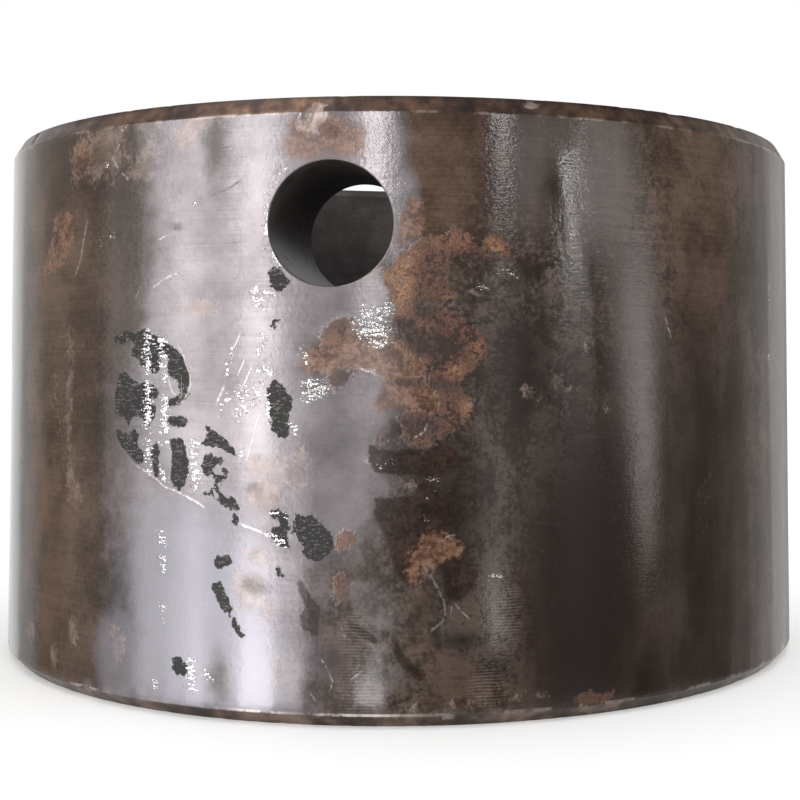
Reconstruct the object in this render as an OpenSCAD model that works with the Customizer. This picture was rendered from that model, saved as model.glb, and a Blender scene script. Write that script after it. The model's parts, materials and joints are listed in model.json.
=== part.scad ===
// Steel pin bushing: a thick-walled sleeve turned as one piece, with one hole drilled through its
// wall near the upper end. The origin is the centre of the lower end face, +Z runs along the bore,
// and the drilled hole faces -Y.

/* [Sleeve] */
// Outside diameter of the sleeve, pressed into a housing (mm)
outer_d = 100; // [90:0.5:140]
// Diameter of the bore that the pin turns in (mm)
bore_d = 60; // [40:0.5:72]
// Length between the two end faces (mm)
sleeve_length = 62; // [45:0.5:120]

/* [Outer edges] */
// Length of the tapered lead-in at the upper end, along the axis (mm)
lead_in_length = 1.75; // [0.5:0.05:3]
// Angle between the lead-in and the axis (degrees)
lead_in_angle = 30; // [10:1:50]
// Size of the 45 degree chamfer round the lower end (mm)
lower_chamfer = 1.25; // [0.3:0.05:3]

/* [Bore edges] */
// Size of the 45 degree chamfer at both mouths of the bore (mm)
bore_chamfer = 1; // [0.3:0.05:3]

/* [Drilled hole] */
// Diameter of the hole through the wall (mm)
hole_d = 12.5; // [4:0.1:16]
// Distance from the upper end face to the hole's axis (mm)
hole_from_end = 12.75; // [12:0.25:25]

/* [Hidden] */

$fn = 180;

// How far a cutter runs past the surfaces that it cuts
overrun = 1;

outer_r = outer_d / 2;
bore_r = bore_d / 2;
hole_r = hole_d / 2;
hole_z = sleeve_length - hole_from_end;

// The lead-in narrows the upper end by this much on the radius
lead_in_depth = lead_in_length * tan(lead_in_angle);

// Oil-blackened steel gone brown
steel_brown = [0.31, 0.26, 0.24];

// Half section of the sleeve: radius along X and height along Y, counter-clockwise from the lower
// mouth of the bore
module half_section() {
    polygon([
        [bore_r + bore_chamfer, 0],
        [outer_r - lower_chamfer, 0],
        [outer_r, lower_chamfer],
        [outer_r, sleeve_length - lead_in_length],
        [outer_r - lead_in_depth, sleeve_length],
        [bore_r + bore_chamfer, sleeve_length],
        [bore_r, sleeve_length - bore_chamfer],
        [bore_r, bore_chamfer]
    ]);
}

// Drill that enters from -Y, crosses one wall and ends on the bore's axis
module wall_drill() {
    translate([0, 0, hole_z])
        rotate([90, 0, 0])
            cylinder(h = outer_r + overrun, r = hole_r);
}

module bushing() {
    color(steel_brown)
        difference() {
            rotate_extrude() half_section();
            wall_drill();
        }
}

bushing();
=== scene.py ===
import json
import math

import bpy
import numpy as np
from mathutils import Euler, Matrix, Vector


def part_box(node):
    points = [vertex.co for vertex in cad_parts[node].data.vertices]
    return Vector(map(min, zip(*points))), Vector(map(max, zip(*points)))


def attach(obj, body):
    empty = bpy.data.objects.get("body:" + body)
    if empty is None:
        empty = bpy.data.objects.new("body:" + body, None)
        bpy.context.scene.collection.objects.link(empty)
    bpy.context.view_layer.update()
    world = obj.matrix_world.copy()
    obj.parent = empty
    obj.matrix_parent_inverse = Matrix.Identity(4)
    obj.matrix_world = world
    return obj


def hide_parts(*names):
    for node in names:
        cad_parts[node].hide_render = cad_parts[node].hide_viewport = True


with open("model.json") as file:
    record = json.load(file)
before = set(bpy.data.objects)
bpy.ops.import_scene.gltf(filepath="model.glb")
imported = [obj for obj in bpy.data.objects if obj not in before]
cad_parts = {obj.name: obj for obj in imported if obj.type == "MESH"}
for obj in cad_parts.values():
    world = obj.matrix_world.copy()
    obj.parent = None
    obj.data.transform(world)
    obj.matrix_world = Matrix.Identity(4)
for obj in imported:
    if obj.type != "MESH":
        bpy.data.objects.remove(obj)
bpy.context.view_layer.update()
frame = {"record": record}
scene = bpy.context.scene

# The photograph's view
# The camera stands close in front of the sleeve, a little above half its height and a little to the
# right of the drilled hole. The picture is a crop, so the lens is shifted.
MM = 0.001
camera_azimuth = math.radians(8.3)
camera_distance = 185.0 * MM
camera_height = 36.2 * MM
camera_pitch = 0.0403
camera_yaw = 0.0328

camera_place = Vector((
    camera_distance * math.sin(camera_azimuth),
    -camera_distance * math.cos(camera_azimuth),
    camera_height,
))
lens = bpy.data.cameras.new("photo_camera")
lens.sensor_width = 36.0
lens.lens = 62.0
lens.shift_x = -0.06
lens.shift_y = -0.125
lens.clip_start = 0.01
camera = bpy.data.objects.new("photo_camera", lens)
camera.location = camera_place
camera.rotation_euler = Euler((math.pi / 2 + camera_pitch, 0.0, camera_azimuth - camera_yaw))
scene.collection.objects.link(camera)
scene.camera = camera

# The sleeve
# One thick ring of steel, turned all over on a lathe, ground on the outside and drilled through one
# wall near its upper end. Years of handling have rounded and nicked its edges.
low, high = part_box("bushing")
mounts = {mount["name"]: mount for mount in frame["record"]["mounts"]}
outer_r = (high.y - low.y) / 2
sleeve_length = high.z - low.z
bore_r = mounts["bore"]["dims"]["r_mm"] * MM
hole_r = mounts["drilled_hole"]["dims"]["r_mm"] * MM
hole_z = mounts["drilled_hole"]["pos_m"][2]
lead_in_length = 1.75 * MM
lead_in_depth = lead_in_length * math.tan(math.radians(30))
lower_chamfer = 1.25 * MM
bore_chamfer = (sleeve_length - mounts["bore"]["dims"]["length_mm"] * MM) / 2


def node(tree, kind, feeds=None, **settings):
    """Add a node, set its options, and feed its inputs from values or from other nodes' outputs."""
    made = tree.nodes.new(kind)
    for option, value in settings.items():
        setattr(made, option, value)
    for key, value in (feeds or {}).items():
        if isinstance(value, bpy.types.NodeSocket):
            tree.links.new(value, made.inputs[key])
        else:
            made.inputs[key].default_value = value
    return made


def maths(tree, operation, *values):
    """A Math node over up to three numbers or sockets; returns its output."""
    return node(tree, "ShaderNodeMath", dict(enumerate(values)), operation=operation).outputs[0]


def combine(tree, x, y, z):
    return node(tree, "ShaderNodeCombineXYZ", {0: x, 1: y, 2: z}).outputs[0]


def hypot(tree, x, y):
    """The length of a flat vector, from numbers or sockets."""
    squares = [maths(tree, "POWER", side, 2.0) for side in (x, y)]
    return maths(tree, "SQRT", maths(tree, "ADD", *squares))


def size_input(tree, name, kind="NodeSocketFloat"):
    return tree.interface.new_socket(name, in_out="INPUT", socket_type=kind).identifier


# Half section: radius from the bore and height, clockwise from the lower mouth of the bore
section_corners = [
    (bore_r + bore_chamfer, 0.0),
    (bore_r, bore_chamfer),
    (bore_r, sleeve_length - bore_chamfer),
    (bore_r + bore_chamfer, sleeve_length),
    (outer_r - lead_in_depth, sleeve_length),
    (outer_r, sleeve_length - lead_in_length),
    (outer_r, lower_chamfer),
    (outer_r - lower_chamfer, 0.0),
]
corner_count = len(section_corners)
section = bpy.data.meshes.new("half_section")
section.from_pydata(
    [(radius - bore_r, -height, 0.0) for radius, height in section_corners],
    [(i, (i + 1) % corner_count) for i in range(corner_count)],
    [],
)
turning = bpy.data.objects.new("turning", section)
scene.collection.objects.link(turning)

lathe = bpy.data.node_groups.new("Turn and drill the sleeve", "GeometryNodeTree")
lathe.interface.new_socket("Geometry", in_out="INPUT", socket_type="NodeSocketGeometry")
lathe.interface.new_socket("Geometry", in_out="OUTPUT", socket_type="NodeSocketGeometry")
sizes = {
    "Outer Radius": outer_r,
    "Bore Radius": bore_r,
    "Length": sleeve_length,
    "Bore Chamfer": bore_chamfer,
    "Edge Radius": 0.12 * MM,
    "Fine Row": 0.56 * MM,
    "Coarse Row": 7.0 * MM,
    "Columns": 560,
    "Hole Radius": hole_r,
    "Hole Height": hole_z,
    "Hole Edge": 0.2 * MM,
    "Hole Columns": 160,
    "Nick Depth": 0.14 * MM,
}
socket_of = {}
for size_name, size in sizes.items():
    socket_of[size_name] = size_input(
        lathe, size_name, "NodeSocketInt" if isinstance(size, int) else "NodeSocketFloat"
    )
finish_names = ("Outside", "End Face", "Bore")
for finish_name in finish_names:
    socket_of[finish_name] = size_input(lathe, finish_name, "NodeSocketMaterial")
given = lathe.nodes.new("NodeGroupInput").outputs
position = node(lathe, "GeometryNodeInputPosition").outputs[0]

# The section gets rounded corners, fine rows outside and coarse rows elsewhere
profile = node(lathe, "GeometryNodeMeshToCurve", {"Mesh": given["Geometry"]}).outputs[0]
profile = node(
    lathe, "GeometryNodeFilletCurve", {"Curve": profile, "Count": 3, "Radius": given["Edge Radius"]},
    mode="POLY",
).outputs[0]
next_point = node(lathe, "GeometryNodeOffsetPointInCurve", {"Offset": 1}).outputs["Point Index"]
next_position = node(
    lathe, "GeometryNodeFieldAtIndex", {"Value": (0, 0, 0), "Index": next_point},
    data_type="FLOAT_VECTOR",
)
lathe.links.new(position, next_position.inputs["Value"])
next_position = next_position.outputs[0]
run = node(lathe, "ShaderNodeVectorMath", {0: position, 1: next_position}, operation="DISTANCE")
this_x = node(lathe, "ShaderNodeSeparateXYZ", {0: position}).outputs[0]
next_x = node(lathe, "ShaderNodeSeparateXYZ", {0: next_position}).outputs[0]
wall_thickness = maths(lathe, "SUBTRACT", given["Outer Radius"], given["Bore Radius"])
inside_edge = maths(lathe, "MULTIPLY", wall_thickness, 0.9)
outside = maths(lathe, "GREATER_THAN", maths(lathe, "MINIMUM", this_x, next_x), inside_edge)
row = node(lathe, "GeometryNodeSwitch", {0: outside, 1: given["Coarse Row"], 2: given["Fine Row"]},
           input_type="FLOAT").outputs[0]
cuts = maths(lathe, "FLOOR", maths(lathe, "DIVIDE", run.outputs["Value"], row))
profile = node(lathe, "GeometryNodeSubdivideCurve", {"Curve": profile, "Cuts": cuts}).outputs[0]

# The section is swept once round the axis
rail = node(
    lathe, "GeometryNodeCurvePrimitiveCircle",
    {"Resolution": given["Columns"], "Radius": given["Bore Radius"]}, mode="RADIUS",
).outputs["Curve"]
ring = node(lathe, "GeometryNodeCurveToMesh", {"Curve": rail, "Profile Curve": profile}).outputs[0]

# Nicks bite into the outer edges, which lie near the two ends
nick_reach = 2.4 * MM
outer_band = 2.0 * MM
nicks_per_metre = 420.0
separated = node(lathe, "ShaderNodeSeparateXYZ", {0: position})
height = separated.outputs[2]
from_end = maths(lathe, "MINIMUM", height, maths(lathe, "SUBTRACT", given["Length"], height))
radius = hypot(lathe, separated.outputs[0], separated.outputs[1])
near_end = node(lathe, "ShaderNodeMapRange", {0: from_end, 1: 0.0, 2: nick_reach, 3: 1.0, 4: 0.0},
                interpolation_type="SMOOTHSTEP").outputs[0]
rough_edge = node(
    lathe, "ShaderNodeTexNoise",
    {"Vector": position, "Scale": nicks_per_metre, "Detail": 3.0, "Roughness": 0.6},
).outputs[0]
bite = node(lathe, "ShaderNodeMapRange", {0: rough_edge, 1: 0.56, 2: 0.8, 3: 0.0, 4: 1.0}).outputs[0]
is_outer = maths(lathe, "GREATER_THAN", radius, maths(lathe, "SUBTRACT", given["Outer Radius"], outer_band))
nick = maths(lathe, "MULTIPLY", maths(lathe, "MULTIPLY", bite, near_end),
             maths(lathe, "MULTIPLY", is_outer, given["Nick Depth"]))
inward = node(
    lathe, "ShaderNodeVectorMath",
    {0: node(lathe, "GeometryNodeInputNormal").outputs[0], "Scale": maths(lathe, "MULTIPLY", nick, -1.0)},
    operation="SCALE",
).outputs[0]
ring = node(lathe, "GeometryNodeSetPosition", {"Geometry": ring, "Offset": inward}).outputs[0]
ring = node(lathe, "GeometryNodeSetMaterial", {"Geometry": ring, "Material": given["Outside"]}).outputs[0]

# The drill is a cylinder along -Y. Its mouth widens in a quarter round that follows the curved wall
drill_rows = 44
drill = node(
    lathe, "GeometryNodeMeshCylinder",
    {"Vertices": given["Hole Columns"], "Side Segments": drill_rows, "Radius": given["Hole Radius"],
     "Depth": 1.0},
).outputs["Mesh"]
drill_place = node(lathe, "ShaderNodeSeparateXYZ", {0: position})
along = maths(lathe, "ADD", drill_place.outputs[2], 0.5)
edge = given["Hole Edge"]
shank = node(
    lathe, "ShaderNodeMapRange",
    {0: along, 1: 0.0, 2: 0.5, 3: given["Outer Radius"], 4: edge},
).outputs[0]
flare_depth = node(
    lathe, "ShaderNodeMapRange",
    {0: along, 1: 0.5, 2: 1.0, 3: edge, 4: maths(lathe, "MULTIPLY", edge, -3.0)},
).outputs[0]
in_flare = maths(lathe, "GREATER_THAN", along, 0.5)
depth = node(lathe, "GeometryNodeSwitch", {0: in_flare, 1: shank, 2: flare_depth},
             input_type="FLOAT").outputs[0]
to_round = maths(lathe, "SUBTRACT", edge, node(
    lathe, "ShaderNodeClamp", {0: depth, 1: 0.0, 2: edge}).outputs[0])
drop = maths(lathe, "SQRT", maths(
    lathe, "SUBTRACT", maths(lathe, "POWER", edge, 2.0), maths(lathe, "POWER", to_round, 2.0)))
growth = maths(lathe, "DIVIDE", maths(lathe, "SUBTRACT", maths(
    lathe, "ADD", given["Hole Radius"], edge), drop), given["Hole Radius"])
across = maths(lathe, "MULTIPLY", drill_place.outputs[0], growth)
up = maths(lathe, "MULTIPLY", drill_place.outputs[1], growth)
wall_at = maths(lathe, "SQRT", maths(
    lathe, "SUBTRACT", maths(lathe, "POWER", given["Outer Radius"], 2.0),
    maths(lathe, "POWER", across, 2.0)))
drill_point = combine(
    lathe, across, maths(lathe, "SUBTRACT", depth, wall_at), maths(lathe, "ADD", up, given["Hole Height"])
)
drill = node(lathe, "GeometryNodeSetPosition", {"Geometry": drill, "Position": drill_point}).outputs[0]
drill = node(lathe, "GeometryNodeSetMaterial", {"Geometry": drill, "Material": given["Bore"]}).outputs[0]
drilled = node(lathe, "GeometryNodeMeshBoolean", {"Mesh 1": ring, "Mesh 2": drill},
               operation="DIFFERENCE", solver="MANIFOLD").outputs[0]

# Only the fine rounded edges keep their facets
edge_angle = node(lathe, "GeometryNodeInputMeshEdgeAngle").outputs[0]
drilled = node(
    lathe, "GeometryNodeSetShadeSmooth",
    {"Geometry": drilled, "Selection": maths(lathe, "GREATER_THAN", edge_angle, math.radians(6)),
     "Shade Smooth": False}, domain="EDGE",
).outputs[0]

# Each turned surface gets its own finish
normal_z = node(lathe, "ShaderNodeSeparateXYZ",
                {0: node(lathe, "GeometryNodeInputNormal").outputs[0]}).outputs[2]
facing_end = maths(lathe, "GREATER_THAN", maths(lathe, "ABSOLUTE", normal_z), 0.95)
in_bore = maths(lathe, "LESS_THAN", radius,
                maths(lathe, "ADD", given["Bore Radius"], given["Bore Chamfer"]))
drill_margin = 0.05 * MM
from_drill = hypot(lathe, separated.outputs[0], maths(lathe, "SUBTRACT", height, given["Hole Height"]))
in_drill = maths(lathe, "LESS_THAN", from_drill, maths(lathe, "ADD", given["Hole Radius"], drill_margin))
on_front = maths(lathe, "LESS_THAN", separated.outputs[1], 0.0)
inner = maths(lathe, "MAXIMUM", in_bore, maths(lathe, "MULTIPLY", in_drill, on_front))
built = node(lathe, "GeometryNodeRealizeInstances", {"Geometry": drilled}).outputs[0]
for finish_name, faces in (("End Face", facing_end), ("Bore", inner)):
    feeds = {"Geometry": built, "Material": given[finish_name], "Selection": faces}
    built = node(lathe, "GeometryNodeSetMaterial", feeds).outputs[0]
node(lathe, "NodeGroupOutput", {"Geometry": built})

finishes = {name: bpy.data.materials.new(name.lower().replace(" ", "_")) for name in finish_names}
turned = turning.modifiers.new("Turned", "NODES")
turned.node_group = lathe
for size_name, size in sizes.items():
    turned[socket_of[size_name]] = size
for finish_name, finish in finishes.items():
    turned[socket_of[finish_name]] = finish
shaped = turning.evaluated_get(bpy.context.evaluated_depsgraph_get())
bushing = bpy.data.objects.new("steel_bushing", bpy.data.meshes.new_from_object(shaped))
scene.collection.objects.link(bushing)
bpy.data.objects.remove(turning)
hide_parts("bushing")
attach(bushing, "root")

# The wear and stains on the outside, and painted reflection
# Dried oil covers the dark steel as a thin film. It has flaked, rusted and been rubbed in places. Each
# mark is placed by its arc length to the right of the hole and its height, both in mm.
mesh = bushing.data
places = np.empty(len(mesh.vertices) * 3)
mesh.vertices.foreach_get("co", places)
places = places.reshape(-1, 3)
arc = np.arctan2(places[:, 0], -places[:, 1]) * outer_r / MM
rise = places[:, 2] / MM
from_bore_axis = np.hypot(places[:, 0], places[:, 1])


def keep_on_mesh(name, values):
    """Store one number at each vertex, for the materials to read."""
    mesh.attributes.new(name, "FLOAT", "POINT").data.foreach_set("value", values)


def beside(u):
    """Arc length from a place to each vertex, the shorter way round, in mm."""
    half_turn = math.pi * outer_r / MM
    return (arc - u + half_turn) % (2 * half_turn) - half_turn


def patch_depth(patches):
    """How deep each vertex lies in ovals of (arc, rise, half width, half height): 1 middle, 0.5 rim."""
    depth = np.zeros(len(arc))
    for u, v, half_width, half_height in patches:
        reach = np.hypot(beside(u) / half_width, (rise - v) / half_height)
        depth = np.maximum(depth, 1 - reach / 2)
    return depth


def stroke_place(u0, v0, u1, v1):
    """Signed distance across a straight stroke, and the share of its length, at each vertex."""
    length = math.hypot(u1 - u0, v1 - v0)
    along_u = (u1 - u0) / length
    along_v = (v1 - v0) / length
    along = beside(u0) * along_u + (rise - v0) * along_v
    across = (rise - v0) * along_u - beside(u0) * along_v
    return across, along, length


def stroke_depth(strokes):
    """As patch_depth, for round-ended strokes of (arc, rise, arc, rise, half width)."""
    depth = np.zeros(len(arc))
    for u0, v0, u1, v1, half_width in strokes:
        across, along, length = stroke_place(u0, v0, u1, v1)
        past_end = np.maximum(np.maximum(-along, along - length), 0)
        depth = np.maximum(depth, 1 - np.hypot(across, past_end) / half_width / 2)
    return depth


def outline_depth(outlines):
    """As patch_depth, for closed outlines of (arc, rise) points: 0.5 more each mm inside."""
    depth = np.zeros(len(arc))
    for points in outlines:
        start = points[0][0]
        from_start = beside(start)
        inside = np.zeros(len(arc), bool)
        nearest = np.full(len(arc), 9.0)
        for (u0, v0), (u1, v1) in zip(points, points[1:] + points[:1]):
            across, along, length = stroke_place(u0, v0, u1, v1)
            past_end = np.maximum(np.maximum(-along, along - length), 0)
            nearest = np.minimum(nearest, np.hypot(across, past_end))
            if v0 != v1:
                level = (rise < v0) != (rise < v1)
                inside ^= level & (from_start < u0 - start + (rise - v0) / (v1 - v0) * (u1 - u0))
        depth = np.maximum(depth, 0.5 + np.where(inside, nearest, -nearest) / 2)
    return np.clip(depth, 0, 1)


def soft(depth):
    """1 well inside a mark, a half at its rim, and 0 well outside."""
    return np.clip(depth * 2 - 0.5, 0, 1)


# Knocks have chipped the two outer edges: arc, rise, half width, half height, depth and slant, in mm
chip_band = 2.5 * MM
deepest_chip = 0.35
chip = np.zeros(len(arc))
for u, v, half_width, half_height, depth, slant in [
    (-1.8, 59.9, 1.0, 1.7, 0.35, 0.45), (20.8, 61.4, 1.4, 0.7, 0.2, 0.4),
    (-29.4, 1.3, 0.9, 0.7, 0.25, 0), (6.2, 61.3, 0.5, 0.5, 0.15, 0), (-44, 61, 0.8, 0.8, 0.2, 0.3),
    (12, 0.9, 1.1, 0.5, 0.2, 0), (96, 60.6, 1.4, 1.0, 0.3, 0.2), (-121, 1.0, 1.6, 0.9, 0.25, 0),
    (150, 61.2, 0.9, 0.8, 0.2, 0), (-80, 60.8, 1.0, 1.0, 0.25, -0.3), (64, 1.0, 1.2, 0.8, 0.2, 0),
]:
    reach = np.maximum(np.abs(beside(u) - slant * (rise - v)) / half_width, np.abs(rise - v) / half_height)
    bite = np.clip(3 - 3 * reach, 0, 1) * (from_bore_axis > outer_r - chip_band)
    places[:, :2] *= (1 - bite * depth * MM / from_bore_axis)[:, None]
    chip = np.maximum(chip, bite * depth / deepest_chip)
mesh.vertices.foreach_set("co", places.ravel())
mesh.update()
keep_on_mesh("chip", chip)

# Smooth grey film, partly painted reflection, thick on the left and round the hole, and its bluish part
# below
grey_film_and_sheen = np.maximum(patch_depth([
    (-12.5, 31, 11, 60), (-3, 25, 8, 9), (-2, 41.5, 9, 4), (-3, 58, 9, 5), (4.6, 56, 2.5, 7),
    (-5, 8, 3.4, 9), (3.5, 33.5, 4, 4.5), (6.8, 50, 2, 5), (-24, 5, 3.4, 5), (-128, 30, 20, 40),
    (96, 20, 16, 30),
]), outline_depth([
    [(1, 15), (5, 15.4), (6.6, 14.4), (7.2, 12.4), (7.3, 10.6), (6.8, 9.2), (6, 8.6), (6.2, 7.4),
     (7, 6.4), (8.2, 5.8), (7.6, 4.6), (6.8, 3.4), (6.6, 1), (2.4, 1), (2.2, 3.4), (3, 5.4),
     (3.4, 7.8), (2.4, 9.8), (1.4, 12.2)],
]) * 0.42)
grey_film_and_sheen = np.maximum(grey_film_and_sheen, outline_depth([
    [(-3, 33.8), (0, 33), (3, 34), (5, 33.6), (5.4, 31.6), (6.6, 30), (6, 28.6), (4.2, 27.6),
     (4.2, 25), (5, 24.4), (8, 24.2), (8.8, 23.4), (8, 22.7), (4.6, 22.4), (4.4, 20.2), (5, 19),
     (4.4, 18), (3.4, 17.4), (1.6, 17.6), (-2, 21), (-3, 27)],
]) * 0.45)
# These patches take grey film away, and with it some painted reflection, so that they are darker
less_grey_film = patch_depth([
    (-12.2, 56.5, 1.6, 4.5), (-24, 48, 3, 8), (-11.4, 4.6, 1.2, 3), (-7.6, 23, 0.9, 0.7),
    (-8, 13.5, 1.4, 1), (-23, 40, 2.2, 1), (-16.6, 49.3, 0.8, 0.4),
])
keep_on_mesh("grey_film_and_sheen", grey_film_and_sheen - 0.45 * less_grey_film)
keep_on_mesh("blue_film_and_sheen", patch_depth([(-15, 10, 9, 11), (-9, 5, 4, 8), (-130, 12, 14, 10)]))
# Film stained brown, film that has gone nearly black, and film that is mottled all over
keep_on_mesh("brown_film", np.maximum(patch_depth([
    (-36, 31, 9, 60), (41, 52, 6.5, 14), (10, 55, 5, 10), (-90, 40, 22, 18), (75, 14, 14, 12),
    (140, 34, 16, 20), (-30, 6, 4, 6), (-27.5, 56, 5, 5),
]), outline_depth([
    [(6.2, 8.6), (7, 6.4), (8.2, 5.8), (8.6, 4.4), (8.4, 1), (16, 1), (17, 3), (16, 5), (14.6, 6.6),
     (13, 7.6), (11.4, 8.2), (10.4, 9.8), (11.2, 11), (11, 12.8), (10, 14.6), (8, 14.2), (7.2, 12.6),
     (7.2, 10.4)],
    [(0.4, 15.2), (0, 12.8), (0.4, 11.4), (1.8, 10.6), (2.4, 8.6), (3, 6), (2.2, 3.4), (2.4, 1),
     (-2.6, 1), (-1.8, 4), (-1, 7), (-1.4, 10), (-0.6, 12.6)],
]) * 0.56))
keep_on_mesh("warm", soft(patch_depth([(-37, 31, 6, 70)])))
black = patch_depth([(26.5, 12, 7, 22), (-80, 8, 16, 10), (120, 10, 24, 9), (-150, 50, 18, 10)])
# Mostly stains; the thin one at (26.8, 44.5) is a painted shadow beside the film's lip
part_black = 0.7 * patch_depth([
    (42, 13, 9, 34), (19.4, 34, 4.6, 8), (33, 3, 5, 9), (22.8, 53, 2.2, 3.2), (26.8, 44.5, 0.7, 3),
    (0.4, 6.4, 2, 2), (13, 8.4, 3.4, 1.2), (16.4, 5.6, 2.6, 1.6), (12.4, 21, 4.4, 9),
])
faint_black = 0.45 * patch_depth([(13, 5.4, 5.5, 7)])
keep_on_mesh("black_film_and_shade", np.maximum.reduce([black, part_black, faint_black]))
keep_on_mesh("mottled", patch_depth([
    (21, 36, 9, 12), (11, 22, 8, 14), (38, 49, 6, 9), (11, 8, 8, 9), (0, 8, 3, 8), (110, 30, 42, 34),
    (-112, 30, 40, 34),
]))
# Lighter grey film, partly thinned film and partly painted reflection beside the mirrored strips
keep_on_mesh("thinned_and_sheen", soft(patch_depth([(29, 53, 4, 7), (32.4, 38, 3, 14), (20.2, 55, 2.4, 6)])))
# Dark stains with crisp rims
keep_on_mesh("smear", np.maximum(outline_depth([
    [(4, 27.2), (6, 27), (6.8, 26.8), (7.8, 27), (9, 26.8), (10.6, 27.2), (11.4, 27.2), (12.2, 27),
     (12.6, 26), (12, 24.8), (10, 24.4), (8.6, 24.7), (6.4, 24.6), (5, 24.8), (4.2, 25.6)],
    [(4.6, 22.2), (6.4, 22.2), (8.4, 22.4), (9.2, 24), (10.4, 23.2), (11.2, 22.4), (12.4, 21.4),
     (12.4, 20), (12, 19), (10.4, 19.2), (9.6, 18.8), (9, 17.8), (8.2, 16.8), (7.6, 15.8), (6.6, 16.6),
     (6, 18), (5.4, 19.6), (4.6, 20.2)],
    [(11.2, 15.6), (13, 15.6), (14.6, 15), (14.2, 13.8), (12.8, 12.4), (11.6, 12.6), (11.4, 14)],
    [(-3.1, 14.6), (-2.4, 13.4), (-1.6, 12.4), (-0.8, 11.6), (-1, 10.6), (-1.2, 9), (-2.2, 9.4),
     (-2.8, 10.6), (-2.2, 11.6), (-2.8, 13)],
    [(6.4, 16.8), (8, 17.2), (9, 16), (9.2, 14.8), (8, 14), (7, 14.6), (6.6, 15.6)],
    [(6.4, 9), (7, 7.6), (8, 6.2), (9.4, 5.4), (9, 4.8), (7.6, 5.8), (6.6, 7.2)],
]), stroke_depth([
    (2.2, 10, 4.6, 8.6, 0.32),
])))
# Where the film is dull, so that it shows no highlight
keep_on_mesh("dull", patch_depth([
    (18, 30, 8, 15), (23.4, 60, 2.4, 3), (10, 36, 8, 10), (26, 12, 5, 22), (8, 24, 5, 6),
    (9, 10, 5, 7), (40, 30, 5, 40), (-37, 30, 7, 50), (100, 35, 30, 20),
]))

# A thin veil of brown stain, and thicker rust inside crisper outlines
keep_on_mesh("veil", np.maximum(outline_depth([
    [(-2.9, 35.4), (-2.2, 36.8), (-1, 37.6), (0, 38.6), (1, 39.4), (2.4, 39.4), (3.4, 38.6), (5.2, 38),
     (6.6, 38.2), (7.6, 37), (8.6, 36.2), (9.8, 35.4), (9.6, 34.4), (8.4, 33.6), (5.6, 33.6),
     (4.8, 34.6), (3.4, 34.8), (2, 34.9), (0.4, 34.8), (-1, 34.4), (-2.6, 34.4)],
    [(4.4, 32.2), (5.2, 33.2), (7, 33.5), (9.4, 33.4), (11, 32.6), (11.4, 31), (10, 30.4), (8, 30.6),
     (6.6, 30.8), (5, 30.6), (4.4, 31.2)],
    [(-2, 59.4), (-0.6, 59.7), (0.8, 59.6), (1.8, 59), (1.6, 57.8), (0.6, 57.2), (-0.6, 57.4),
     (-1.6, 56.8), (-2.4, 57.4), (-1.8, 58.4)],
    [(7, 47), (7, 50), (8, 52), (9.2, 51), (9.6, 48.8), (8.6, 47.6)],
    [(-32.7, 58.4), (-31.4, 58.9), (-29.9, 58.8), (-29, 57.6), (-29.2, 56.4), (-30.6, 56),
     (-31.4, 55.3), (-32, 56), (-32.9, 56.4), (-32.2, 57.2)],
    [(-36.4, 51.6), (-34, 52), (-32, 51), (-32.6, 48.6), (-34.4, 46.4), (-37, 45.4), (-39, 44),
     (-39.4, 45.6), (-37.4, 48.4)],
    [(9, 18.6), (9.8, 19), (11.4, 18.8), (12.6, 18.2), (13.2, 17.2), (12.8, 16.4), (11.2, 16.2),
     (10.4, 15.4), (9, 15.8), (8.8, 15), (9.6, 14.4), (8.8, 13.8), (7.6, 14.4), (7.4, 15.4), (8, 16.2),
     (8.2, 17.2), (9, 17.6)],
]), 0.63 * outline_depth([
    [(-5.2, 57.4), (-4.4, 60), (-1, 60.2), (2, 60), (4, 59.4), (4.2, 57.6), (3.4, 56), (1.6, 55.2),
     (-0.4, 55.6), (-2.6, 55), (-4.4, 55.4)],
])))
orange_spots = [
    [(4.6, 28.1), (5.4, 28.4), (6.2, 27.9), (5.6, 27.3), (4.8, 27.4)],
    [(0.4, 18.5), (1.4, 19), (2.4, 18.7), (2.7, 18), (1.8, 17.7), (1.2, 16.9), (0.6, 17.2), (0.8, 17.9)],
]
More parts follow.
